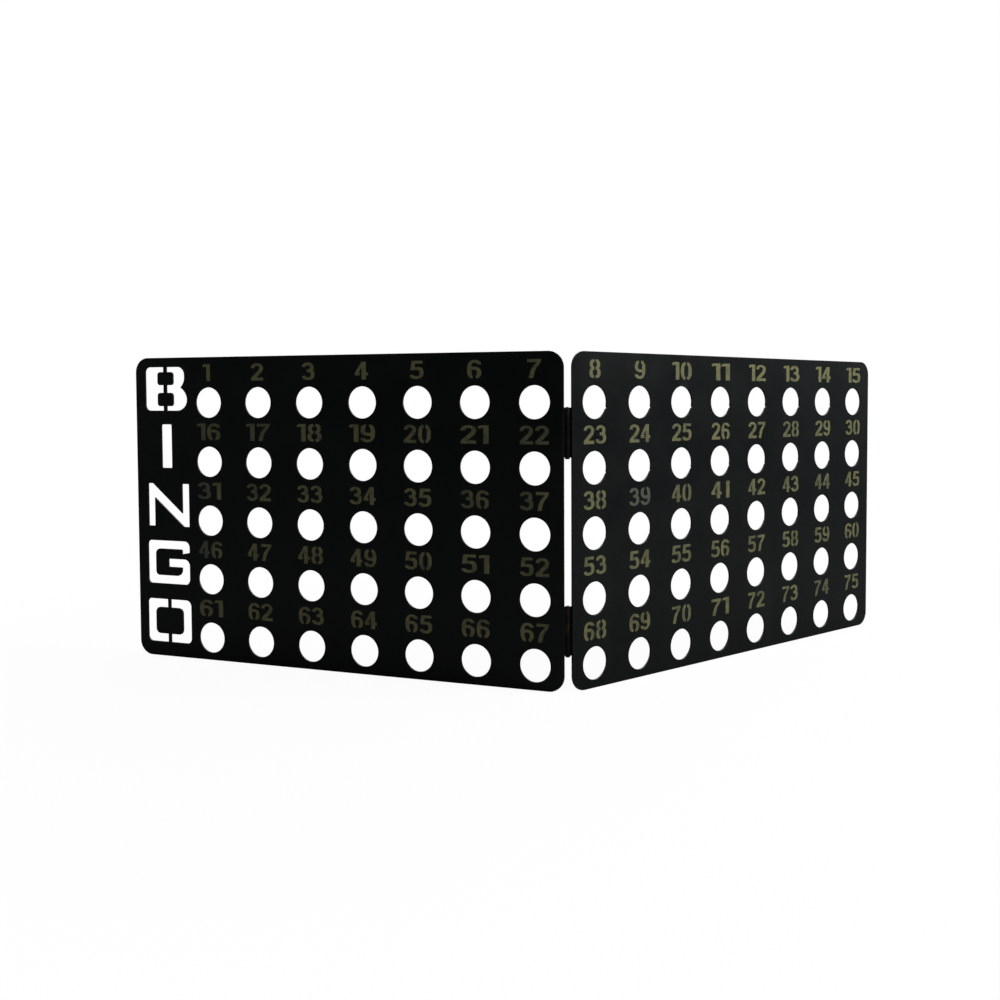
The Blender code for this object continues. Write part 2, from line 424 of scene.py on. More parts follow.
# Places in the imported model


def mount(name):
    """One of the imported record's mounts."""
    return next(item for item in frame["record"]["mounts"] if item["name"] == name)


def panel_place(side):
    """The matrix from a panel's own axes to the world.

    From the fold's axis a panel's X runs to the viewer's right along the sheet, its Y out of the back of
    the sheet, and its Z up.
    """
    back = Vector(mount(side + "_panel_back")["axis"]).normalized()
    across = Vector((back.y, -back.x, 0))
    turn = Matrix((across, back, Vector((0, 0, 1)))).transposed()
    return Matrix.Translation(FOLD_AXIS) @ turn.to_4x4()


def own_box(side, node):
    """A node's lowest and highest corners in its panel's own axes."""
    into = panel_place(side).inverted()
    points = [into @ vert.co for vert in frame["nodes"][node].data.vertices]
    low = Vector([min(point[axis] for point in points) for axis in range(3)])
    high = Vector([max(point[axis] for point in points) for axis in range(3)])
    return low, high


def opening_centre(side, number):
    """The centre of a number's hole in its panel's own axes."""
    boxes = {item["name"]: item["box_m"] for item in frame["record"]["physics"]["openings"]}
    low, high = boxes["ball_hole_" + str(number)]
    return panel_place(side).inverted() @ ((Vector(low) + Vector(high)) / 2)


def side_of(column):
    """The panel that a column of the board is on."""
    return SIDES[0] if column < LEFT_COLUMNS else SIDES[1]


def hole_pitch():
    """The distance between neighbouring holes, from the heights of the top and bottom rows."""
    top = opening_centre(SIDES[0], 1).z
    foot = opening_centre(SIDES[0], (ROWS - 1) * COLUMNS + 1).z
    return (top - foot) / (ROWS - 1)


def hole_place(number):
    """Where a number's hole lies in the drawing of its panel: along the sheet, and up it."""
    row, column = divmod(number - 1, COLUMNS)
    first = opening_centre(side_of(column), column + 1)
    return first.x, first.z - row * hole_pitch()


def numbers_on(side):
    """The numbers of one panel."""
    return [n for n in range(1, ROWS * COLUMNS + 1) if side_of((n - 1) % COLUMNS) == side]


# Modelling steps


def activate(*objs):
    """Selects these objects alone, the first of them active."""
    bpy.ops.object.select_all(action="DESELECT")
    for obj in objs:
        obj.select_set(True)
    bpy.context.view_layer.objects.active = objs[0]


def edit(obj):
    """Opens an object alone in edit mode."""
    activate(obj)
    bpy.ops.object.mode_set(mode="EDIT")


def leave_edit():
    """Goes back to object mode."""
    bpy.ops.object.mode_set(mode="OBJECT")


def pick(kind, test):
    """Selects the edited mesh's verts, edges or faces that pass a test, and nothing else."""
    bpy.ops.mesh.select_mode(type={"verts": "VERT", "edges": "EDGE", "faces": "FACE"}[kind])
    bpy.ops.mesh.select_all(action="DESELECT")
    mesh = bpy.context.edit_object.data
    bm = bmesh.from_edit_mesh(mesh)
    for item in getattr(bm, kind):
        if test(item):
            item.select_set(True)
    bm.select_flush_mode()
    bmesh.update_edit_mesh(mesh)


def use_modifier(obj, kind, **settings):
    """Adds a modifier with these settings and applies it."""
    activate(obj)
    modifier = obj.modifiers.new(kind.title(), kind)
    for name, value in settings.items():
        setattr(modifier, name, value)
    bpy.ops.object.modifier_apply(modifier=modifier.name)


def combine(obj, operation, *tools):
    """Unites an object with each tool or cuts it by each tool, and removes the tools."""
    for tool in tools:
        use_modifier(obj, "BOOLEAN", operation=operation, solver="EXACT", object=tool)
        bpy.data.objects.remove(tool, do_unlink=True)


def weld_and_face_out(obj):
    """Merges the doubles of a closed shape and turns its faces outwards."""
    edit(obj)
    bpy.ops.mesh.select_all(action="SELECT")
    bpy.ops.mesh.remove_doubles(threshold=MERGE)
    bpy.ops.mesh.normals_make_consistent(inside=False)
    leave_edit()


def place(obj, matrix):
    """Moves an object's shape to its place and leaves its origin at the world's."""
    activate(obj)
    obj.matrix_world = matrix @ obj.matrix_world
    bpy.ops.object.transform_apply(location=True, rotation=True, scale=True)


def place_drawing(obj, side, depth):
    """Stands a flat drawing up in a panel's axes, its face to the front, at a depth along Y."""
    stand = Matrix.Rotation(pi / 2, 4, "X")
    place(obj, panel_place(side) @ Matrix.Translation((0, depth, 0)) @ stand)


def smooth(obj, angle):
    """Shades an object's round faces smooth."""
    activate(obj)
    bpy.ops.object.shade_smooth_by_angle(angle=angle)


def rounded(points, steps):
    """The points of a line, with a quarter of an ellipse in place of each cut corner."""
    corners = [Vector(point[:2]) for point in points]
    line = []
    for index, (corner, point) in enumerate(zip(corners, points)):
        cuts = point[2:]
        if not cuts:
            line.append(corner)
            continue
        before = (corner - corners[index - 1]).normalized() * cuts[0]
        after = (corners[(index + 1) % len(corners)] - corner).normalized() * cuts[-1]
        centre = corner - before + after
        for step in range(steps + 1):
            turn = pi / 2 * step / steps
            line.append(centre - after * cos(turn) + before * sin(turn))
    return line


def draw(name, lines):
    """A flat curve with a closed straight-sided spline along each line of points."""
    curve = bpy.data.curves.new(name, "CURVE")
    curve.dimensions = "2D"
    for line in lines:
        spline = curve.splines.new("POLY")
        spline.points.add(len(line) - 1)
        spline.use_cyclic_u = True
        for point, (x, y) in zip(spline.points, line):
            point.co = (x, y, 0, 1)
    drawing = bpy.data.objects.new(name, curve)
    bpy.context.collection.objects.link(drawing)
    return drawing


def make_mesh(obj):
    """Turns a curve object into a mesh object."""
    activate(obj)
    bpy.ops.object.convert(target="MESH")
    return bpy.context.object


# Sheets


def hole_line(centre, radius, burr):
    """A round hole, with the small notch of a burr at its lower right."""
    line = []
    for step in range(HOLE_SIDES):
        turn = 2 * pi * step / HOLE_SIDES
        away = abs((turn - BURR_TURN + pi) % (2 * pi) - pi)
        reach = radius + burr * max(0, 1 - away / BURR_SPREAD)
        line.append(centre + Vector((cos(turn), sin(turn))) * reach)
    return line


def burr_of(number, sizes):
    """How deep the notch beside a number's hole is."""
    row, column = divmod(number - 1, COLUMNS)
    if side_of(column) == SIDES[0]:
        return 0
    burr = sizes.burr_height * BURR_ROW_SHARES[row]
    return burr * BURR_LAST_COLUMN_SHARE if column == COLUMNS - 1 else burr


def letter_lines(outer, sizes):
    """The outlines of the row letters, each beside its row's holes."""
    lines = []
    for row, outlines in enumerate(LETTERS):
        height = hole_place(row * COLUMNS + 1)[1] - sizes.letter_drop
        corner = Vector((outer + sizes.letter_inset, height))
        for outline in outlines:
            line = rounded(outline, LETTER_CORNER_STEPS)
            lines.append([corner + point * LETTER_UNIT for point in line])
    return lines


def make_sheet(side, sizes, face_paint, rim_paint):
    """A panel cut from flat sheet: its outline, its ball holes and, on the left, the row letters."""
    low, high = own_box(side, side + "_panel")
    radius = sizes.corner_radius
    corners = [(low.x, low.z), (high.x, low.z), (high.x, high.z), (low.x, high.z)]
    lines = [rounded([(x, z, radius) for x, z in corners], SHEET_CORNER_STEPS)]
    for number in numbers_on(side):
        centre = Vector(hole_place(number))
        lines.append(hole_line(centre, sizes.hole_diameter / 2, burr_of(number, sizes)))
    if side == SIDES[0]:
        lines += letter_lines(low.x, sizes)

    drawing = draw(side + "_sheet", lines)
    drawing.data.fill_mode = "BOTH"
    drawing.data.extrude = (high.y - low.y) / 2 - sizes.rim_softness
    drawing.data.bevel_depth = sizes.rim_softness
    drawing.data.bevel_resolution = RIM_STEPS
    drawing.data.offset = -sizes.rim_softness
    sheet = make_mesh(drawing)
    weld_and_face_out(sheet)
    sheet.data.materials.clear()
    sheet.data.materials.append(face_paint)
    sheet.data.materials.append(rim_paint)
    for face in sheet.data.polygons:
        face.material_index = 0 if abs(face.normal.z) > cos(FLAT_TILT) else 1
    place_drawing(sheet, side, (low.y + high.y) / 2)
    smooth(sheet, SHEET_SHARP)
    use_modifier(sheet, "WEIGHTED_NORMAL", weight=100, keep_sharp=True)
    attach(sheet, side + "_half")
    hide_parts(side + "_panel")


# Numerals


def make_digit(name, outlines, paint):
    """One stencil digit, drawn flat in its own box and a unit thick."""
    lines = [rounded(outline, DIGIT_CORNER_STEPS) for outline in outlines]
    drawing = draw(name, lines)
    drawing.data.fill_mode = "BOTH"
    drawing.data.extrude = 1 / 2
    digit = make_mesh(drawing)
    weld_and_face_out(digit)
    digit.data.materials.clear()
    digit.data.materials.append(paint)
    return digit


def digit_widths(text):
    """How wide each digit of a numeral is, in shares of the pitch. A 1 gives room to its neighbour."""
    if len(text) == 1:
        return [LONE_ONE_SHARE if text == "1" else LONE_DIGIT_SHARE]
    if text.count("1") != 1:
        return [PAIRED_DIGIT_SHARE, PAIRED_DIGIT_SHARE]
    return [ONE_BESIDE_ANOTHER_SHARE if digit == "1" else ANOTHER_BESIDE_ONE_SHARE for digit in text]


def copy_digit(master, corner, size, wear):
    """A copy of a digit with its lower left corner at a place, and on its faces its wear, which for numerals not
    listed as worn is its row's painted shade.
    """
    digit = master.copy()
    digit.data = master.data.copy()
    bpy.context.collection.objects.link(digit)
    digit.location = corner
    digit.scale = size
    attribute = digit.data.attributes.new("wear", "FLOAT", "FACE")
    attribute.data.foreach_set("value", [wear] * len(digit.data.polygons))
    return digit


def make_numerals(side, sizes, masters):
    """All the numerals of one panel, each centred above its hole."""
    pitch = hole_pitch()
    thickness = sizes.paint_build + sizes.paint_key
    middle = (sizes.paint_build - sizes.paint_key) / 2
    copies = []
    for number in numbers_on(side):
        text = str(number)
        widths = digit_widths(text)
        whole = sum(widths) + DIGIT_GAP_SHARE * (len(widths) - 1)
        hole_x, hole_z = hole_place(number)
        shift = LONE_ONE_SHIFT_SHARE * pitch if text == "1" else 0
        reach = hole_x - whole * pitch / 2 - shift
        foot = hole_z + DIGIT_FOOT_SHARE * pitch
        # Numerals not listed as worn get their row's painted shade in place of wear
        row_shade = ROW_SHADE_SHARES[side][(number - 1) // COLUMNS]
        wear = WORN_NUMERALS.get(number, (row_shade,) * len(text))
        for digit, width, worn in zip(text, widths, wear):
            kind = "bare 1" if text == "41" and digit == "1" else digit
            size = (width * pitch / DIGIT_BOX[0], DIGIT_HEIGHT_SHARE * pitch / DIGIT_BOX[1], thickness)
            copies.append(copy_digit(masters[kind], (reach, foot, middle), size, worn))
            reach += (width + DIGIT_GAP_SHARE) * pitch
    activate(*copies)
    bpy.ops.object.transform_apply(location=True, rotation=True, scale=True)
    bpy.ops.object.join()
    numerals = bpy.context.object
    numerals.name = side + "_numerals"
    low = own_box(side, side + "_panel")[0]
    place_drawing(numerals, side, low.y)
    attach(numerals, side + "_half")


# Hinges


def add_notch_tool(radius, start, end):
    """A round cutter that clears the other leaf's knuckle between two heights."""
    bpy.ops.object.select_all(action="DESELECT")
    bpy.ops.mesh.primitive_cylinder_add(
        vertices=NOTCH_SIDES, radius=radius, depth=end - start, location=(0, 0, (start + end) / 2)
    )
    return bpy.context.object


def add_weld_tool(centre, width, depth):
    """A flattened ball, centred clear of a leaf's back, that leaves a shallow dish in it."""
    radius = width / 2 / sqrt(1 - DIMPLE_LIFT**2)
    reach = depth / (1 - DIMPLE_LIFT)
    bpy.ops.object.select_all(action="DESELECT")
    bpy.ops.mesh.primitive_uv_sphere_add(
        segments=DIMPLE_SIDES,
        ring_count=DIMPLE_SIDES // 2,
        radius=radius,
        location=centre + Vector((0, reach - depth, 0)),
    )
    tool = bpy.context.object
    tool.scale.y = reach / radius
    bpy.ops.object.transform_apply(location=True, rotation=True, scale=True)
    return tool


def make_leaf(name, side, open_spans, sizes, paint):
    """One rolled leaf: a flat plate, its inner edge spun round the pin, notched between knuckles.

    It is modelled as the right leaf, reaching along X from the pin, and turned over for the left one.
    """
    low, high = own_box(side, name)
    length = high.z - low.z
    reach = max(abs(low.x), abs(high.x))
    barrel = high.y
    wall = sizes.leaf_sheet
    middle = barrel - wall / 2
    bore = barrel - wall

    bpy.ops.object.select_all(action="DESELECT")
    bpy.ops.mesh.primitive_plane_add(
        size=1, rotation=(pi / 2, 0, 0), location=(reach / 2, -middle, length / 2)
    )
    leaf = bpy.context.object
    leaf.name = name + "_rolled"
    leaf.scale = (reach, length, 1)
    bpy.ops.object.transform_apply(location=True, rotation=True, scale=True)
    edit(leaf)
    pick("verts", lambda vert: vert.co.x > reach / 2)
    bpy.ops.mesh.bevel(offset=sizes.leaf_corner, segments=LEAF_CORNER_STEPS, affect="VERTICES")
    pick("verts", lambda vert: vert.co.x < MERGE)
    stop = asin((sizes.knuckle_gap - bore) / barrel)
    sweep = 2 * pi - (stop + pi / 2)
    bpy.ops.mesh.spin(steps=CURL_STEPS, angle=sweep, center=(0, 0, 0), axis=(0, 0, 1))
    leave_edit()
    weld_and_face_out(leaf)
    use_modifier(leaf, "SOLIDIFY", thickness=wall, offset=0, use_even_offset=True)
    weld_and_face_out(leaf)
    use_modifier(
        leaf, "BEVEL", width=sizes.leaf_edge, segments=2, limit_method="ANGLE", angle_limit=LEAF_ROUNDED
    )

    cutters = [add_notch_tool(barrel + sizes.knuckle_gap, *span) for span in open_spans(length)]
    land = (barrel + reach) / 2
    welds = [
        add_weld_tool(Vector((land, -bore, length * share)), sizes.weld_width, sizes.weld_depth)
        for share in WELD_SHARES
    ]
    combine(leaf, "DIFFERENCE", *cutters, *welds)
    leaf.data.materials.clear()
    leaf.data.materials.append(paint)
    turn_over = Matrix.Diagonal((-1 if side == SIDES[0] else 1, 1, 1, 1))
    place(leaf, panel_place(side) @ Matrix.Translation((0, 0, low.z)) @ turn_over)
    weld_and_face_out(leaf)
    smooth(leaf, HINGE_SHARP)
    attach(leaf, side + "_half")
    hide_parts(name)


def make_pin(name, sizes, metal):
    """A turned pin: a shank through the knuckles, and a low round head under them."""
    low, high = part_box(name)
    centre = (low + high) / 2
    head_radius = (high.x - low.x) / 2
    barrel_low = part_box(name.replace("_pin", "_left_leaf"))[0].z
    head_top = barrel_low - sizes.knuckle_gap
    taper = (head_top - low.z) * HEAD_TAPER_SHARE

    bpy.ops.object.select_all(action="DESELECT")
    bpy.ops.mesh.primitive_cylinder_add(
        vertices=PIN_SIDES,
        radius=sizes.pin_radius,
        depth=high.z - head_top,
        location=(centre.x, centre.y, (high.z + head_top) / 2),
    )
    pin = bpy.context.object
    pin.name = name + "_turned"
    bpy.ops.object.transform_apply(location=True, rotation=True, scale=True)
    edit(pin)
    axis = Vector((centre.x, centre.y, head_top))
    steps = (
        (head_radius / sizes.pin_radius, 0),
        (1, head_top - low.z - taper),
        (HEAD_END_SHARE, taper),
    )
    pick("faces", lambda face: face.normal.z < -0.9)
    for widening, drop in steps:
        bpy.ops.mesh.extrude_region_move(TRANSFORM_OT_translate={"value": (0, 0, -drop)})
        bpy.ops.transform.resize(value=(widening, widening, 1), center_override=axis)
    leave_edit()
    use_modifier(
        pin, "BEVEL", width=sizes.pin_edge, segments=3, limit_method="ANGLE", angle_limit=PIN_ROUNDED
    )
    weld_and_face_out(pin)
    pin.data.materials.clear()
    pin.data.materials.append(metal)
    smooth(pin, HINGE_SHARP)
    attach(pin, SIDES[0] + "_half")
    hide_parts(name)


# Finishes


def add_node(tree, kind, values=(), **settings):
    """Adds a shader node with its settings. A value is a number, a colour or a socket to link from."""
    made = tree.nodes.new("ShaderNode" + kind)
    made.location.x = 200 * len(tree.nodes)
    for name, value in settings.items():
        setattr(made, name, value)
    for socket, value in dict(values).items():
        if isinstance(value, bpy.types.NodeSocket):
            tree.links.new(value, made.inputs[socket])
        else:
            made.inputs[socket].default_value = value
    return made


def noise(tree, place_socket, scale, detail=2.0, stretch=(1, 1, 1)):
    """A noise pattern on the object's coordinates, drawn out along an axis where stretch says.

    Most of its values lie between 0.3 and 0.7, and the ramps of the finishes spread them from there.
    """
    mapping = add_node(tree, "Mapping", {"Vector": place_socket, "Scale": stretch})
    values = {"Vector": mapping.outputs["Vector"], "Scale": scale, "Detail": detail}
    return add_node(tree, "TexNoise", values).outputs["Fac"]


def ramp(tree, value, low, high, to_low=0.0, to_high=1.0):
    """A value spread smoothly from one range to another."""
    values = {"Value": value, "From Min": low, "From Max": high, "To Min": to_low, "To Max": to_high}
    return add_node(tree, "MapRange", values, interpolation_type="SMOOTHSTEP").outputs["Result"]


def sum_of(tree, first, second, operation="ADD"):
    """Two values added, multiplied or otherwise combined."""
    return add_node(tree, "Math", {0: first, 1: second}, operation=operation).outputs["Value"]


def blend_colour(tree, share, first, second):
    """A colour between two others."""
    return add_node(tree, "Mix", {0: share, 6: first, 7: second}, data_type="RGBA").outputs[2]


def new_group(name, inputs, output):
    """A node group with named number inputs and one number output. Returns its tree and its two ends."""
    tree = bpy.data.node_groups.new(name, "ShaderNodeTree")
    for socket, default in inputs:
        made = tree.interface.new_socket(socket, in_out="INPUT", socket_type="NodeSocketFloat")
        made.default_value = default
    tree.interface.new_socket(output, in_out="OUTPUT", socket_type="NodeSocketFloat")
    return tree, tree.nodes.new("NodeGroupInput"), tree.nodes.new("NodeGroupOutput")


def peel_group():
    """The fine waves of sprayed paint, as a height in metres."""
    tree, given, result = new_group("sprayed paint", (("Wave", 600.0), ("Depth", 0.000004)), "Height")
    coords = add_node(tree, "TexCoord").outputs["Object"]
    waves = noise(tree, coords, 1.0, 3.0)
    tree.links.new(given.outputs["Wave"], waves.node.inputs["Scale"])
    height = sum_of(tree, waves, given.outputs["Depth"], "MULTIPLY")
    tree.links.new(height, result.inputs["Height"])
    return tree


def edge_group():
    """Where paint has worn off along sharp edges, from 0 to 1."""
    inputs = (("Width", 0.0003), ("Amount", 0.5), ("Patches", 120.0))
    tree, given, result = new_group("edge wear", inputs, "Mask")
    soft = add_node(tree, "Bevel", {"Radius": given.outputs["Width"]}, samples=6).outputs["Normal"]
    flat = add_node(tree, "NewGeometry").outputs["Normal"]
    match = add_node(tree, "VectorMath", {0: soft, 1: flat}, operation="DOT_PRODUCT").outputs["Value"]
    # Near an edge the softened normal leaves the flat one
    edge = ramp(tree, match, 0.995, 0.93)
    coords = add_node(tree, "TexCoord").outputs["Object"]
    patches = noise(tree, coords, 1.0, 4.0)
    tree.links.new(given.outputs["Patches"], patches.node.inputs["Scale"])
    broken = sum_of(tree, edge, ramp(tree, patches, 0.38, 0.66), "MULTIPLY")
    mask = sum_of(tree, broken, given.outputs["Amount"], "MULTIPLY")
    tree.links.new(mask, result.inputs["Mask"])
    return tree


def dust_group():
    """Fine specks, and a film on what faces up, from 0 to 1."""
    tree, given, result = new_group("dust", (("Amount", 0.3), ("Grain", 1500.0)), "Mask")
    coords = add_node(tree, "TexCoord").outputs["Object"]
    specks = noise(tree, coords, 1.0, 1.0)
    tree.links.new(given.outputs["Grain"], specks.node.inputs["Scale"])
    patches = noise(tree, coords, 14.0, 4.0)
    normal = add_node(tree, "NewGeometry").outputs["Normal"]
    up = add_node(tree, "SeparateXYZ", {"Vector": normal}).outputs["Z"]
    film = ramp(tree, up, 0.3, 0.95)
    scattered = sum_of(tree, ramp(tree, specks, 0.62, 0.78), ramp(tree, patches, 0.4, 0.7), "MULTIPLY")
    both = sum_of(tree, scattered, film, "MAXIMUM")
    mask = sum_of(tree, both, given.outputs["Amount"], "MULTIPLY")
    tree.links.new(mask, result.inputs["Mask"])
    return tree


def use_group(tree, make_group, output, **values):
    """Places a node group in a tree with its own values, and builds the group the first time."""
    name = make_group.__name__
    if name not in bpy.data.node_groups:
        make_group().name = name
    made = tree.nodes.new("ShaderNodeGroup")
    made.node_tree = bpy.data.node_groups[name]
    made.location.x = 200 * len(tree.nodes)
    for socket, value in values.items():
        made.inputs[socket].default_value = value
    return made.outputs[output]


def new_finish(name):
    """An empty material, with its node tree, its shader and its object coordinates."""
    finish = bpy.data.materials.new(name)
    finish.use_nodes = True
    tree = finish.node_tree
    shader = tree.nodes["Principled BSDF"]
    return finish, tree, shader, add_node(tree, "TexCoord").outputs["Object"]


def bump(tree, height):
    """The normal of a surface raised by a height in metres."""
    return add_node(tree, "Bump", {"Height": height, "Distance": 1.0, "Strength": 1.0}).outputs["Normal"]


def opaque(colour):
    """A colour with full cover."""
    return (*colour, 1.0)


def sheet_finish(colours, name, roughness, wear):
    """Satin black paint on sheet metal: fine waves, faint handling marks, dust and worn edges."""
    finish, tree, shader, coords = new_finish(name)
    handled = ramp(tree, noise(tree, coords, 9.0, 5.0), 0.35, 0.75)
    rubbed = ramp(tree, noise(tree, coords, 60.0, 4.0, (1, 1, 0.12)), 0.5, 0.8)
    haze = sum_of(tree, sum_of(tree, handled, rubbed, "MULTIPLY"), 0.5, "MULTIPLY")
    dust = use_group(tree, dust_group, "Mask", Amount=0.35)
    edge = use_group(tree, edge_group, "Mask", Amount=wear)
    veil = sum_of(tree, haze, dust, "MAXIMUM")
    painted = blend_colour(tree, veil, opaque(colours.sheet_paint), opaque(colours.sheet_haze))
    colour = blend_colour(tree, edge, painted, opaque(colours.bare_steel))
    tree.links.new(colour, shader.inputs["Base Color"])
    gloss = ramp(tree, noise(tree, coords, 25.0, 4.0), 0.3, 0.7, roughness - 0.03, roughness + 0.05)
    dulled = sum_of(tree, gloss, sum_of(tree, veil, 0.15, "MULTIPLY"))
    tree.links.new(dulled, shader.inputs["Roughness"])
    tree.links.new(sum_of(tree, edge, 0.6, "MULTIPLY"), shader.inputs["Metallic"])
    height = use_group(tree, peel_group, "Height", Wave=480.0, Depth=0.000012)
    tree.links.new(bump(tree, height), shader.inputs["Normal"])
    shader.inputs["Specular IOR Level"].default_value = 0.4
    return finish


def numeral_finish(colours):
    """Gold stencil paint: unevenly thick, mottled, and rubbed grey where the wear attribute says. That attribute
    also holds the rows' painted shade, which thins the gold.
    """
    finish, tree, shader, coords = new_finish("numeral_paint")
    cloud = noise(tree, coords, 75.0, 3.0)
    mottle = noise(tree, coords, 420.0, 4.0)
    strokes = noise(tree, coords, 190.0, 3.0, (1, 1, 0.5))
    cover = sum_of(tree, sum_of(tree, cloud, 0.9, "MULTIPLY"), sum_of(tree, mottle, 0.7, "MULTIPLY"))
    cover = sum_of(tree, cover, sum_of(tree, strokes, 0.6, "MULTIPLY"))
    wear = add_node(tree, "Attribute", attribute_name="wear").outputs["Fac"]
    # The wear attribute holds real rubbing and, on the other numerals, the rows' painted shade; both thin the gold
    # here
    remaining = sum_of(tree, cover, sum_of(tree, wear, 0.4, "MULTIPLY"), "SUBTRACT")
    thick = ramp(tree, remaining, 0.8, 1.2)
    gold = blend_colour(tree, thick, opaque(colours.numeral_thin), opaque(colours.numeral_paint))
    streaked = ramp(tree, strokes, 0.25, 0.6, 0.55, 1.0)
    rubbed = sum_of(tree, ramp(tree, wear, 0.3, 1.0), streaked, "MULTIPLY")
    colour = blend_colour(tree, rubbed, gold, opaque(colours.numeral_grey))
    tree.links.new(colour, shader.inputs["Base Color"])
    tree.links.new(ramp(tree, cover, 0.8, 1.3, 0.62, 0.48), shader.inputs["Roughness"])
    height = sum_of(tree, cover, 0.00002, "MULTIPLY")
    tree.links.new(bump(tree, height), shader.inputs["Normal"])
    shader.inputs["Specular IOR Level"].default_value = 0.4
    return finish


def hinge_finish(colours, name, wear):
    """Black paint on brass leaves, rubbed through in streaks round the knuckles."""
    finish, tree, shader, coords = new_finish(name)
    streaks = noise(tree, coords, 260.0, 4.0, (1, 1, 0.1))
    patches = noise(tree, coords, 95.0, 4.0)
    worn = sum_of(tree, ramp(tree, streaks, 0.46, 0.66), ramp(tree, patches, 0.36, 0.62), "MULTIPLY")
    worn = sum_of(tree, worn, wear, "MULTIPLY")
    edge = use_group(tree, edge_group, "Mask", Width=0.0002, Amount=wear, Patches=300.0)
    bare = sum_of(tree, worn, edge, "MAXIMUM")
    dust = use_group(tree, dust_group, "Mask", Amount=0.4)
    painted = blend_colour(tree, dust, opaque(colours.hinge_paint), opaque(colours.sheet_haze))
    colour = blend_colour(tree, bare, painted, opaque(colours.bare_brass))
    tree.links.new(colour, shader.inputs["Base Color"])
    tree.links.new(ramp(tree, patches, 0.3, 0.7, 0.38, 0.5), shader.inputs["Roughness"])
    tree.links.new(sum_of(tree, bare, 0.8, "MULTIPLY"), shader.inputs["Metallic"])
    shader.inputs["Specular IOR Level"].default_value = 0.25
    height = use_group(tree, peel_group, "Height", Wave=900.0, Depth=0.000006)
    tree.links.new(bump(tree, height), shader.inputs["Normal"])
    return finish


def pin_finish(colours):
    """Turned brass with fine rings, nearly all of it under the hinges' black paint."""
    finish, tree, shader, coords = new_finish("pin_brass")
    rings = noise(tree, coords, 40.0, 3.0, (1, 1, 90))
    tarnish = ramp(tree, noise(tree, coords, 500.0, 4.0), 0.3, 0.45)
    colour = blend_colour(tree, tarnish, opaque(colours.bare_brass), opaque(colours.hinge_paint))
    tree.links.new(colour, shader.inputs["Base Color"])
    tree.links.new(ramp(tree, tarnish, 0.0, 1.0, 0.32, 0.55), shader.inputs["Roughness"])
    tree.links.new(ramp(tree, tarnish, 0.0, 1.0, 0.95, 0.0), shader.inputs["Metallic"])
    height = sum_of(tree, rings, 0.000004, "MULTIPLY")
    tree.links.new(bump(tree, height), shader.inputs["Normal"])
    return finish


# Stage


def floor_finish(colour):
    """A pale floor that the camera sees as white with the board's soft shadow on it."""
    finish = bpy.data.materials.new("floor")
    finish.use_nodes = True
    tree = finish.node_tree
    tree.nodes.clear()
    paths = add_node(tree, "LightPath")
    coords = add_node(tree, "TexCoord").outputs["Object"]
    grain = noise(tree, coords, 2.0, 3.0)
    pale = blend_colour(tree, grain, opaque(colour), opaque(Vector(colour) * FLOOR_GRAIN))
    seen = ramp(tree, paths.outputs["Is Camera Ray"], 0.0, 1.0, FLOOR_SOFT_SHARE, 1.0)
    loss = FLOOR_SOFT_SHARE - FLOOR_MIRROR_SHARE
    lost = sum_of(tree, paths.outputs["Is Glossy Ray"], loss, "MULTIPLY")
    dim = blend_colour(tree, sum_of(tree, seen, lost, "SUBTRACT"), (0, 0, 0, 1), pale)
    matt = add_node(tree, "BsdfDiffuse", {"Color": dim})
    glow = add_node(tree, "Emission", {"Color": (1, 1, 1, 1), "Strength": 1.0})
    away = add_node(tree, "VectorMath", {0: coords}, operation="LENGTH").outputs["Value"]
    fade = ramp(tree, away, SHADOW_REACH, 3 * SHADOW_REACH, FLOOR_GLOW, 1.0)
    share = sum_of(tree, paths.outputs["Is Camera Ray"], fade, "MULTIPLY")
    both = add_node(tree, "MixShader", {0: share, 1: matt.outputs[0], 2: glow.outputs[0]})
    output = add_node(tree, "OutputMaterial")
    tree.links.new(both.outputs[0], output.inputs["Surface"])
    return finish


def make_floor(colours, stage):
    """A wide plain floor under the board."""
    bpy.ops.object.select_all(action="DESELECT")
    bpy.ops.mesh.primitive_plane_add(size=stage.floor_size)
    floor = bpy.context.object
    floor.name = "floor"
    floor.data.materials.append(floor_finish(colours.floor))


def make_world():
    """White to the camera; to the board, a studio that is dark in front and pale behind."""
    world = bpy.data.worlds.new("studio")
    world.use_nodes = True
    tree = world.node_tree
    tree.nodes.clear()
    paths = add_node(tree, "LightPath")
    direction = add_node(tree, "TexCoord").outputs["Generated"]
    depth = add_node(tree, "SeparateXYZ", {"Vector": direction}).outputs["Y"]
    spread = add_node(tree, "ValToRGB", {"Fac": ramp(tree, depth, -1.0, 1.0)})
    for along, strength in STUDIO:
        stop = spread.color_ramp.elements.new(along)
        stop.color = (strength * STUDIO_RED_SHARE, strength, strength, 1)
    spread.color_ramp.elements.remove(spread.color_ramp.elements[0])
    spread.color_ramp.elements.remove(spread.color_ramp.elements[-1])
    studio = add_node(tree, "Background", {"Color": spread.outputs["Color"], "Strength": 1.0})
    white = add_node(tree, "Background", {"Color": (1, 1, 1, 1), "Strength": 1.0})
    values = {0: paths.outputs["Is Camera Ray"], 1: studio.outputs[0], 2: white.outputs[0]}
    both = add_node(tree, "MixShader", values)
    output = add_node(tree, "OutputWorld")
    tree.links.new(both.outputs[0], output.inputs["Surface"])
    bpy.context.scene.world = world


def add_softbox(name, location, size, power):
    """A square lamp that faces the board."""
    facing = (Vector(LAMP_TARGET) - Vector(location)).to_track_quat("-Z", "Y").to_euler()
    bpy.ops.object.light_add(type="AREA", location=location, rotation=facing)
    lamp = bpy.context.object
    lamp.name = name
    lamp.data.shape = "SQUARE"
    lamp.data.size = size
    lamp.data.energy = power


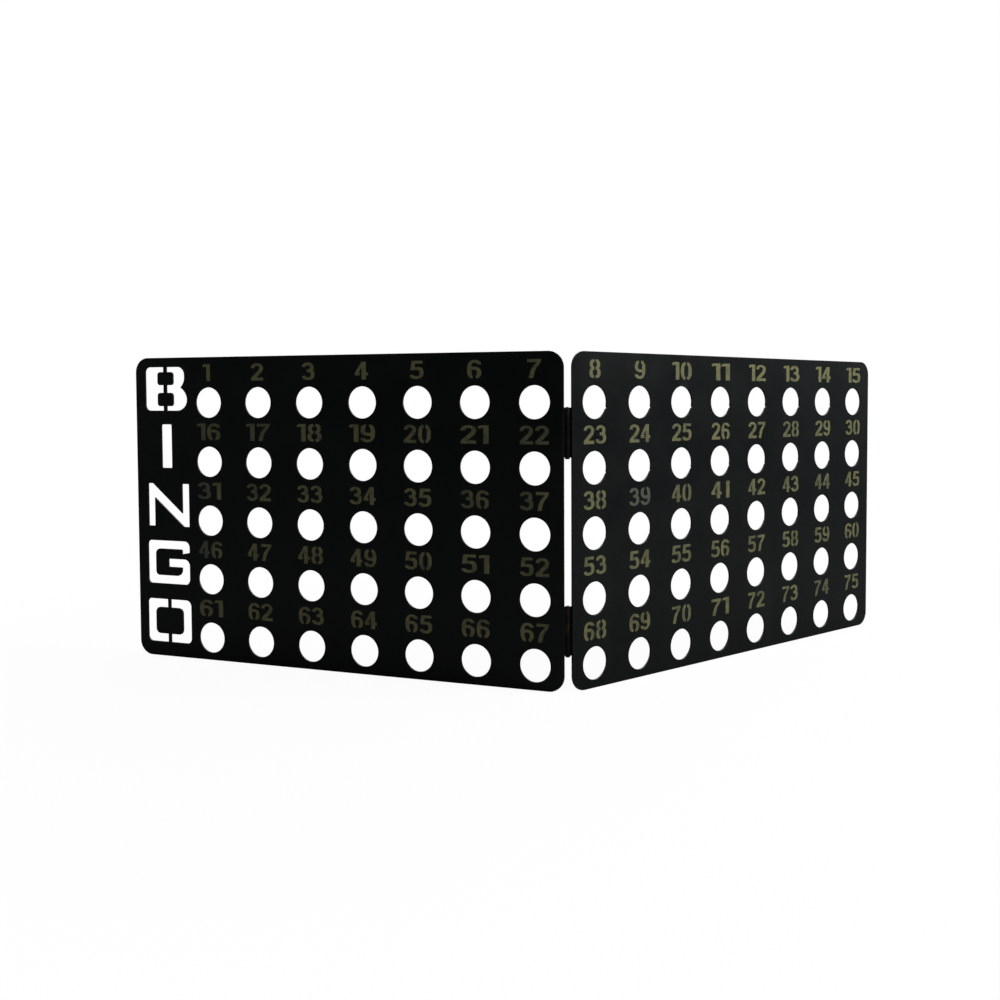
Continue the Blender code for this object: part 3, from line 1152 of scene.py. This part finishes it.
def make_camera(stage):
    """The camera of the board's picture."""
    bpy.ops.object.camera_add(location=stage.camera_place, rotation=stage.camera_turn)
    camera = bpy.context.object
    camera.name = "camera"
    camera.data.lens = stage.camera_lens
    camera.data.shift_x, camera.data.shift_y = stage.camera_shift
    bpy.context.scene.camera = camera


# Operators


class BOARD_OT_sheets(bpy.types.Operator):
    """Make the two perforated sheets, the left one with its cut-out row letters"""

    bl_idname = "bingo_board.sheets"
    bl_label = "Sheets"

    def execute(self, context):
        colours = context.scene.board_colours
        face_paint = sheet_finish(colours, "sheet_paint", 0.33, 0.15)
        rim_paint = sheet_finish(colours, "rim_paint", 0.4, 0.5)
        for side in SIDES:
            make_sheet(side, context.scene.board_sizes, face_paint, rim_paint)
        return {"FINISHED"}


class BOARD_OT_numerals(bpy.types.Operator):
    """Make the painted numerals from 1 to 75"""

    bl_idname = "bingo_board.numerals"
    bl_label = "Numerals"

    def execute(self, context):
        paint = numeral_finish(context.scene.board_colours)
        masters = {name: make_digit("digit " + name, lines, paint) for name, lines in DIGITS.items()}
        for side in SIDES:
            make_numerals(side, context.scene.board_sizes, masters)
        for master in masters.values():
            bpy.data.objects.remove(master, do_unlink=True)
        return {"FINISHED"}


class BOARD_OT_hinge_leaves(bpy.types.Operator):
    """Make the four rolled leaves, with two end knuckles on a left one and a long one on a right one"""

    bl_idname = "bingo_board.hinge_leaves"
    bl_label = "Hinge leaves"

    def execute(self, context):
        sizes = context.scene.board_sizes
        colours = context.scene.board_colours
        share = sizes.end_knuckle_share
        half = sizes.knuckle_seam / 2

        def middle(length):
            return [(length * share - half, length * (1 - share) + half)]

        def ends(length):
            return [(-OVERRUN, length * share + half), (length * (1 - share) - half, length + OVERRUN)]

        for hinge, wear in (("upper_hinge", 0.05), ("lower_hinge", 0.3)):
            paint = hinge_finish(colours, hinge + "_paint", wear)
            make_leaf(hinge + "_left_leaf", SIDES[0], middle, sizes, paint)
            make_leaf(hinge + "_right_leaf", SIDES[1], ends, sizes, paint)
        return {"FINISHED"}


class BOARD_OT_pins(bpy.types.Operator):
    """Make the two headed hinge pins"""

    bl_idname = "bingo_board.pins"
    bl_label = "Pins"

    def execute(self, context):
        metal = pin_finish(context.scene.board_colours)
        for name in ("upper_hinge_pin", "lower_hinge_pin"):
            make_pin(name, context.scene.board_sizes, metal)
        return {"FINISHED"}


class BOARD_OT_stage(bpy.types.Operator):
    """Set up the floor, the lights, the world and the camera"""

    bl_idname = "bingo_board.stage"
    bl_label = "Stage"

    def execute(self, context):
        stage = context.scene.board_stage
        make_floor(context.scene.board_colours, stage)
        make_world()
        for name, (location, size) in LAMPS.items():
            add_softbox(name + "_softbox", location, size, getattr(stage, name + "_power"))
        make_camera(stage)
        context.scene.view_settings.view_transform = "Standard"
        return {"FINISHED"}


OPERATORS = (
    BOARD_OT_sheets,
    BOARD_OT_numerals,
    BOARD_OT_hinge_leaves,
    BOARD_OT_pins,
    BOARD_OT_stage,
)


class BOARD_PT_sidebar(bpy.types.Panel):
    """The board's sizes, colours and operators"""

    bl_idname = "BOARD_PT_sidebar"
    bl_label = "Bingo board"
    bl_space_type = "VIEW_3D"
    bl_region_type = "UI"
    bl_category = "Bingo board"

    def draw(self, context):
        scene = context.scene
        for settings in (scene.board_sizes, scene.board_colours, scene.board_stage):
            box = self.layout.box()
            for name in settings.__annotations__:
                box.prop(settings, name)
        for operator in OPERATORS:
            self.layout.operator(operator.bl_idname)


SETTINGS = {"board_sizes": BoardSizes, "board_colours": BoardColours, "board_stage": BoardStage}
CLASSES = (*SETTINGS.values(), *OPERATORS, BOARD_PT_sidebar)


def register():
    for cls in CLASSES:
        bpy.utils.register_class(cls)
    for name, group in SETTINGS.items():
        setattr(bpy.types.Scene, name, PointerProperty(type=group))


def unregister():
    for name in SETTINGS:
        delattr(bpy.types.Scene, name)
    for cls in reversed(CLASSES):
        bpy.utils.unregister_class(cls)


def corners(box):
    """A box's two corners as plain numbers."""
    return [list(corner) for corner in box]


def main():
    register()
    bpy.ops.bingo_board.sheets()
    bpy.ops.bingo_board.numerals()
    bpy.ops.bingo_board.hinge_leaves()
    bpy.ops.bingo_board.pins()
    bpy.ops.bingo_board.stage()


if __name__ == "__main__":
    main()
